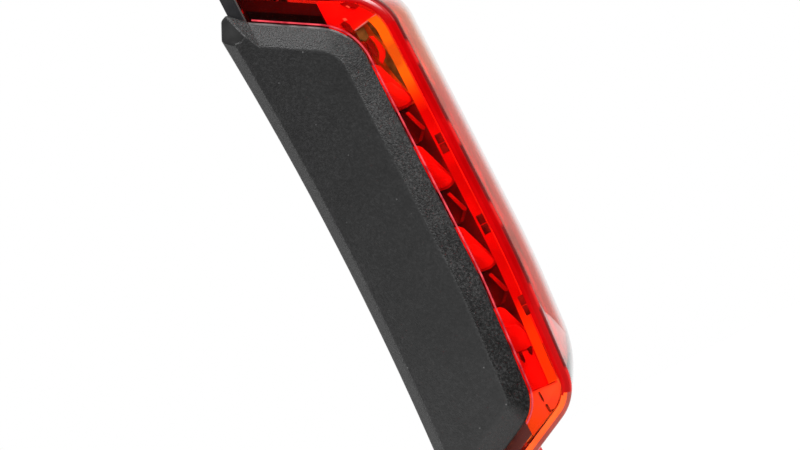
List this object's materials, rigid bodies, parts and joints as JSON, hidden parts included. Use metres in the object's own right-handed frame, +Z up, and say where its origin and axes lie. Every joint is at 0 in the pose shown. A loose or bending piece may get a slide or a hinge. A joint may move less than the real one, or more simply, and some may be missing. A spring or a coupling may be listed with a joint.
{
  "type": "bicycle rear light",
  "caption": "Mudguard rear light: deep crowned red lens between two grained side covers, hollow back with rubber pad, threaded inserts and a push button below.",
  "frame": {"origin": "on the mounting face of the rubber pad, midway between the two mounting bolts", "axes": "+Z up along the mudguard, +Y towards the wheel and along the mounting bolts, the lens faces -Y, +X across the mudguard"},
  "size_m": [0.0374, 0.0186, 0.061],
  "materials": {
    "black_plastic": "satin moulded ABS",
    "grained_plastic": "fine spark-eroded grain",
    "rubber": "matt",
    "soft_rubber": "soft touch",
    "brass": "turned",
    "red_lens": "clear red, polished",
    "red_prism": "prismatic",
    "clear_guide": "clear, polished",
    "metallised": "vacuum metallised",
    "steel": "plated",
    "contact_plating": "nickel plated spring steel",
    "board_laminate": "solder mask",
    "chip_epoxy": "moulded",
    "chip_ceramic": "ceramic body",
    "capacitor_can": "drawn can",
    "led_body": "white body with clear dome",
    "switch_plastic": "moulded"
  },
  "bodies": {
    "housing": {"base_plate": "black_plastic", "board_screws": "steel", "capacitors": "capacitor_can", "cheek_left": "grained_plastic", "cheek_right": "grained_plastic", "circuit_board": "board_laminate", "coin_cell_can": "steel", "coin_cell_cap": "steel", "driver_chip": "chip_epoxy", "inner_tray": "black_plastic", "leds_left": "led_body", "leds_right": "led_body", "lens": "red_lens", "lens_screw": "steel", "lens_seal": "rubber", "light_guide_left": "clear_guide", "light_guide_right": "clear_guide", "mounting_pad": "rubber", "negative_contact": "contact_plating", "optic_carrier": "black_plastic", "positive_contact": "contact_plating", "resistors": "chip_ceramic", "retroreflector": "red_prism", "side_reflector_left": "metallised", "side_reflector_right": "metallised", "switch_body": "switch_plastic", "threaded_inserts": "brass"},
    "button": {"button_cap": "soft_rubber", "switch_plunger": "switch_plastic"}
  },
  "joints": [
    {"name": "button_press", "type": "slide", "parent": "housing", "child": "button", "axis": [0, 0, 1], "range_m": [0, 0.0005], "stiffness_N_per_m": 1500}
  ]
}
